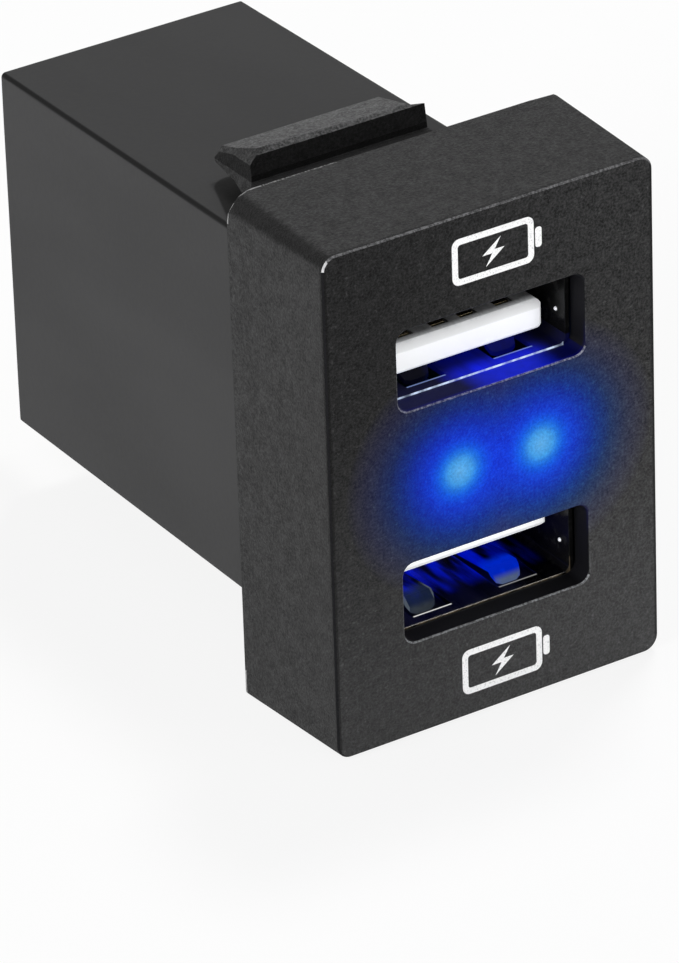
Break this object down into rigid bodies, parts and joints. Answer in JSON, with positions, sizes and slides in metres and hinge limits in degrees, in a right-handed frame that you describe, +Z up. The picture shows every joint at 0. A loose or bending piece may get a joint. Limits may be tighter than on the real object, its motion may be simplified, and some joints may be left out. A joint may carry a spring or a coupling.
{
  "type": "car dual usb socket",
  "caption": "Snap-in dashboard USB socket: thick matte rectangular bezel with stacked ports, blue lamps between them, snap latches, and a long box housing with spade terminals.",
  "frame": {"origin": "centre of the bezel's rear rim, in the plane that rests on the panel", "axes": "-Y out of the face, towards the driver; +Y into the panel, along the housing; +Z up; +X to the right of someone who faces the socket"},
  "size_m": [0.0232, 0.0485, 0.0334],
  "materials": {
    "bezel_plastic": "fine grained matte",
    "housing_plastic": "smooth satin",
    "port_steel": "nickel-plated sheet",
    "port_insulator": "smooth moulded",
    "contact_plating": "gold flash",
    "lamp_resin": "clear tinted, lit blue",
    "tinned_wire": "tin-plated",
    "board_laminate": "solder-masked laminate",
    "strip_plastic": "smooth",
    "blade_brass": "rolled strip",
    "ferrite": "matte ferrite",
    "enamelled_wire": "enamelled copper",
    "can_aluminium": "satin can",
    "base_plastic": "smooth",
    "package_plastic": "moulded, slightly grained",
    "ceramic": "fired ceramic"
  },
  "bodies": {
    "root": {"front_bezel": "bezel_plastic", "rear_housing": "housing_plastic", "upper_port_shell": "port_steel", "upper_port_tongue": "port_insulator", "upper_port_contacts": "contact_plating", "lower_port_shell": "port_steel", "lower_port_tongue": "port_insulator", "lower_port_contacts": "contact_plating", "left_lamp": "lamp_resin", "left_lamp_legs": "tinned_wire", "right_lamp": "lamp_resin", "right_lamp_legs": "tinned_wire", "front_board": "board_laminate", "power_board": "board_laminate", "link_header": "strip_plastic", "link_pins": "contact_plating", "positive_blade": "blade_brass", "negative_blade": "blade_brass", "choke_core": "ferrite", "choke_winding": "enamelled_wire", "input_capacitor": "can_aluminium", "output_capacitor": "can_aluminium", "capacitor_bases": "base_plastic", "converter_chip": "package_plastic", "converter_leads": "tinned_wire", "catch_diode": "package_plastic", "filter_capacitors": "ceramic", "chip_resistors": "ceramic", "charge_controller": "package_plastic"}
  },
  "joints": []
}
